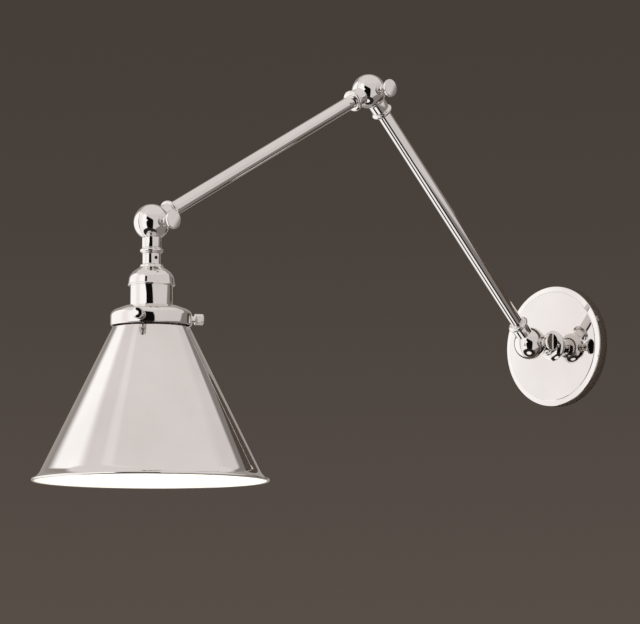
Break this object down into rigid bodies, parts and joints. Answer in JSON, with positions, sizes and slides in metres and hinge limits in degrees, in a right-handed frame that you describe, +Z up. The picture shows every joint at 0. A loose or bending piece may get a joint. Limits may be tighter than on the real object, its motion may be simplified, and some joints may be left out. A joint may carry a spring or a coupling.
{
  "type": "swing arm wall sconce",
  "caption": "Wall sconce with jointed swing arms on thumb-screw ball knuckles, a swivelling stem on a round backplate and a tilting metal cone shade over a lamp socket.",
  "frame": {"origin": "centre of the round backplate on the wall plane", "axes": "+Z up along the wall, -Y out from the wall along the lamp, X along the wall with the thumb screws on the +X side"},
  "size_m": [0.2112, 0.6809, 0.4028],
  "materials": {
    "polished_nickel": "polished",
    "white_enamel": "gloss",
    "zinc_steel": "satin",
    "brass": "satin",
    "porcelain": "gloss",
    "opal_glass": "satin",
    "dark_glass": "gloss",
    "fibre": "matte",
    "wire_insulation": "satin",
    "green_steel": "satin"
  },
  "bodies": {
    "wall_plate": {"backplate": "polished_nickel", "rosette": "polished_nickel", "box_crossbar": "zinc_steel", "canopy_crossbar": "zinc_steel", "crossbar_eyelet": "brass", "side_screws": "polished_nickel", "ground_screw": "green_steel", "swivel_stop_pin": "zinc_steel", "swivel_spring_washer": "zinc_steel", "swivel_fibre_washer": "fibre"},
    "wall_swivel": {"wall_knuckle_inner": "polished_nickel", "stem_collar": "polished_nickel", "wall_nipple": "zinc_steel", "nipple_nut": "zinc_steel", "swivel_stop_washer": "zinc_steel", "swivel_wires": "wire_insulation", "wall_hub_washer": "fibre"},
    "lower_arm": {"wall_knuckle_outer": "polished_nickel", "lower_arm_lower_collar": "polished_nickel", "lower_arm_tube": "polished_nickel", "lower_arm_upper_collar": "polished_nickel", "elbow_knuckle_inner": "polished_nickel", "lower_arm_wires": "wire_insulation", "elbow_hub_washer": "fibre"},
    "upper_arm": {"elbow_knuckle_outer": "polished_nickel", "upper_arm_upper_collar": "polished_nickel", "upper_arm_tube": "polished_nickel", "upper_arm_lower_collar": "polished_nickel", "head_knuckle_inner": "polished_nickel", "upper_arm_wires": "wire_insulation", "head_hub_washer": "fibre"},
    "shade_head": {"head_knuckle_outer": "polished_nickel", "head_collar": "polished_nickel", "head_nipple": "zinc_steel", "head_wires": "wire_insulation", "socket_cap": "polished_nickel", "socket_grub_screw": "zinc_steel", "socket_shell": "polished_nickel", "lamp_holder": "porcelain", "terminal_screws": "brass", "screw_shell": "brass", "centre_contact": "brass", "socket_liner": "fibre", "shade_fitter": "polished_nickel", "fitter_ring": "polished_nickel", "shade": "polished_nickel", "bulb_contact": "brass", "bulb_insulator": "dark_glass", "bulb_cap": "zinc_steel", "bulb_glass": "opal_glass"},
    "wall_clamp_screw": {"wall_thumb_screw": "polished_nickel", "wall_thumb_washer": "polished_nickel"},
    "elbow_clamp_screw": {"elbow_thumb_screw": "polished_nickel", "elbow_thumb_washer": "polished_nickel"},
    "head_clamp_screw": {"head_thumb_screw": "polished_nickel", "head_thumb_washer": "polished_nickel"},
    "fitter_clamp_1": {"fitter_screw_1": "polished_nickel"},
    "fitter_clamp_2": {"fitter_screw_2": "polished_nickel"},
    "fitter_clamp_3": {"fitter_screw_3": "polished_nickel"}
  },
  "joints": [
    {"name": "wall_swivel", "type": "hinge", "parent": "wall_plate", "child": "wall_swivel", "pos_m": [0, -0.0467, 0], "axis": [0, -1, 0], "range_deg": [-90, 90]},
    {"name": "wall_knuckle", "type": "hinge", "parent": "wall_swivel", "child": "lower_arm", "pos_m": [0, -0.0467, 0], "axis": [-1, 0, 0], "range_deg": [-73, 42]},
    {"name": "elbow_knuckle", "type": "hinge", "parent": "lower_arm", "child": "upper_arm", "pos_m": [0, -0.28619, 0.22411], "axis": [1, 0, 0], "range_deg": [-71, 44]},
    {"name": "head_knuckle", "type": "hinge", "parent": "upper_arm", "child": "shade_head", "pos_m": [0, -0.57526, 0.06912], "axis": [-1, 0, 0], "range_deg": [-55, 100]},
    {"name": "wall_screw_turn", "type": "hinge", "parent": "wall_swivel", "child": "wall_clamp_screw", "pos_m": [0, -0.0467, 0], "axis": [1, 0, 0], "range_deg": [-30, 180]},
    {"name": "elbow_screw_turn", "type": "hinge", "parent": "lower_arm", "child": "elbow_clamp_screw", "pos_m": [0, -0.28619, 0.22411], "axis": [1, 0, 0], "range_deg": [-30, 180]},
    {"name": "head_screw_turn", "type": "hinge", "parent": "upper_arm", "child": "head_clamp_screw", "pos_m": [0, -0.57526, 0.06912], "axis": [1, 0, 0], "range_deg": [-30, 180]},
    {"name": "fitter_screw_1_turn", "type": "hinge", "parent": "shade_head", "child": "fitter_clamp_1", "pos_m": [0, -0.57526, -0.01688], "axis": [0.5, -0.866, 0], "range_deg": [-30, 180]},
    {"name": "fitter_screw_2_turn", "type": "hinge", "parent": "shade_head", "child": "fitter_clamp_2", "pos_m": [0, -0.57526, -0.01688], "axis": [0.5, 0.866, 0], "range_deg": [-30, 180]},
    {"name": "fitter_screw_3_turn", "type": "hinge", "parent": "shade_head", "child": "fitter_clamp_3", "pos_m": [0, -0.57526, -0.01688], "axis": [-1, 0, 0], "range_deg": [-30, 180]}
  ]
}
